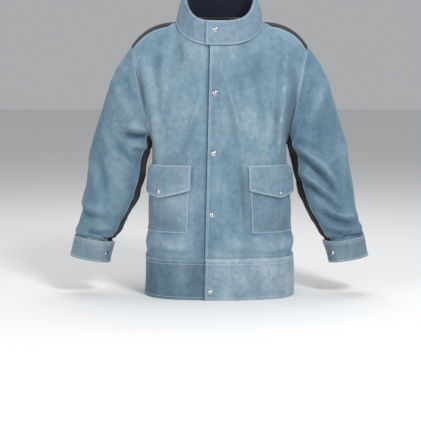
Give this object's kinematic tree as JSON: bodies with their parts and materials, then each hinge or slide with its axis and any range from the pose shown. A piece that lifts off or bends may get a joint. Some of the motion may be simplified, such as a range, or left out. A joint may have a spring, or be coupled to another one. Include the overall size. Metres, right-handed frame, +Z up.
{
  "type": "leather welding jacket",
  "caption": "Split-leather welding jacket with stand-up collar, studded front, flapped patch pockets, banded cuffs and a dark cotton back.",
  "frame": {"origin": "on the plane of the hem, under the middle of the whole jacket", "axes": "+X to the wearer's left, the front faces -Y, +Z up towards the collar"},
  "size_m": [0.833, 0.298, 0.8502],
  "materials": {
    "split_leather": "blue-grey split cowhide, napped and slightly worn",
    "cotton_back": "near-black flame-resistant cotton twill",
    "collar_lining": "dark navy cotton lining",
    "stud_steel": "bright nickel-plated press studs"
  },
  "bodies": {
    "jacket_body": {"back_panel": "cotton_back", "collar_lining": "collar_lining", "collar_outer": "split_leather", "collar_snap_post": "stud_steel", "collar_snap_stud": "stud_steel", "fly_snap_1_post": "stud_steel", "fly_snap_1_stud": "stud_steel", "fly_snap_2_post": "stud_steel", "fly_snap_2_stud": "stud_steel", "fly_snap_3_post": "stud_steel", "fly_snap_3_stud": "stud_steel", "front_panel_left": "split_leather", "front_panel_right": "split_leather", "hanger_loop": "cotton_back", "hem_band_back": "cotton_back", "hem_band_left": "split_leather", "hem_band_right": "split_leather", "hem_snap_post": "stud_steel", "hem_snap_stud": "stud_steel", "pocket_left": "split_leather", "pocket_right": "split_leather", "pocket_snap_left_post": "stud_steel", "pocket_snap_left_stud": "stud_steel", "pocket_snap_right_post": "stud_steel", "pocket_snap_right_stud": "stud_steel"},
    "front_fly": {"collar_snap_cap": "stud_steel", "collar_snap_socket": "stud_steel", "collar_tab": "split_leather", "fly_hem_band": "split_leather", "fly_snap_1_cap": "stud_steel", "fly_snap_1_socket": "stud_steel", "fly_snap_2_cap": "stud_steel", "fly_snap_2_socket": "stud_steel", "fly_snap_3_cap": "stud_steel", "fly_snap_3_socket": "stud_steel", "front_fly": "split_leather", "hem_snap_cap": "stud_steel", "hem_snap_socket": "stud_steel"},
    "pocket_flap_left": {"pocket_flap_left": "split_leather", "pocket_snap_left_cap": "stud_steel", "pocket_snap_left_socket": "stud_steel"},
    "pocket_flap_right": {"pocket_flap_right": "split_leather", "pocket_snap_right_cap": "stud_steel", "pocket_snap_right_socket": "stud_steel"},
    "sleeve_left": {"cuff_left": "split_leather", "cuff_snap_left_post": "stud_steel", "cuff_snap_left_stud": "stud_steel", "sleeve_left_back": "cotton_back", "sleeve_left_front": "split_leather"},
    "sleeve_right": {"cuff_right": "split_leather", "cuff_snap_right_post": "stud_steel", "cuff_snap_right_stud": "stud_steel", "sleeve_right_back": "cotton_back", "sleeve_right_front": "split_leather"},
    "cuff_tab_left": {"cuff_snap_left_cap": "stud_steel", "cuff_snap_left_socket": "stud_steel", "cuff_tab_left": "split_leather"},
    "cuff_tab_right": {"cuff_snap_right_cap": "stud_steel", "cuff_snap_right_socket": "stud_steel", "cuff_tab_right": "split_leather"}
  },
  "joints": [
    {"name": "front_fly_hinge", "type": "hinge", "parent": "jacket_body", "child": "front_fly", "pos_m": [0.045, -0.14813, 0.00056], "axis": [0, 0.0621, 0.9981], "range_deg": [0, 75]},
    {"name": "pocket_flap_left_hinge", "type": "hinge", "parent": "jacket_body", "child": "pocket_flap_left", "pos_m": [0.15157, -0.09232, 0.364], "axis": [-0.7593, -0.6507, 0], "range_deg": [0, 75]},
    {"name": "sleeve_left_swing", "type": "hinge", "parent": "jacket_body", "child": "sleeve_left", "pos_m": [0.2145, 0.00895, 0.553], "axis": [-0.9784, 0, 0.2066], "range_deg": [-15, 60]},
    {"name": "cuff_tab_left_hinge", "type": "hinge", "parent": "sleeve_left", "child": "cuff_tab_left", "pos_m": [0.36771, -0.06742, 0.12828], "axis": [-0.2137, 0.0684, 0.9745], "range_deg": [0, 60]},
    {"name": "pocket_flap_right_hinge", "type": "hinge", "parent": "jacket_body", "child": "pocket_flap_right", "pos_m": [-0.15157, -0.09232, 0.364], "axis": [-0.7593, 0.6507, 0], "range_deg": [0, 75]},
    {"name": "sleeve_right_swing", "type": "hinge", "parent": "jacket_body", "child": "sleeve_right", "pos_m": [-0.2145, 0.00895, 0.553], "axis": [-0.9784, 0, -0.2066], "range_deg": [-15, 60]},
    {"name": "cuff_tab_right_hinge", "type": "hinge", "parent": "sleeve_right", "child": "cuff_tab_right", "pos_m": [-0.36771, -0.06742, 0.12828], "axis": [-0.2137, -0.0684, -0.9745], "range_deg": [0, 60]}
  ]
}
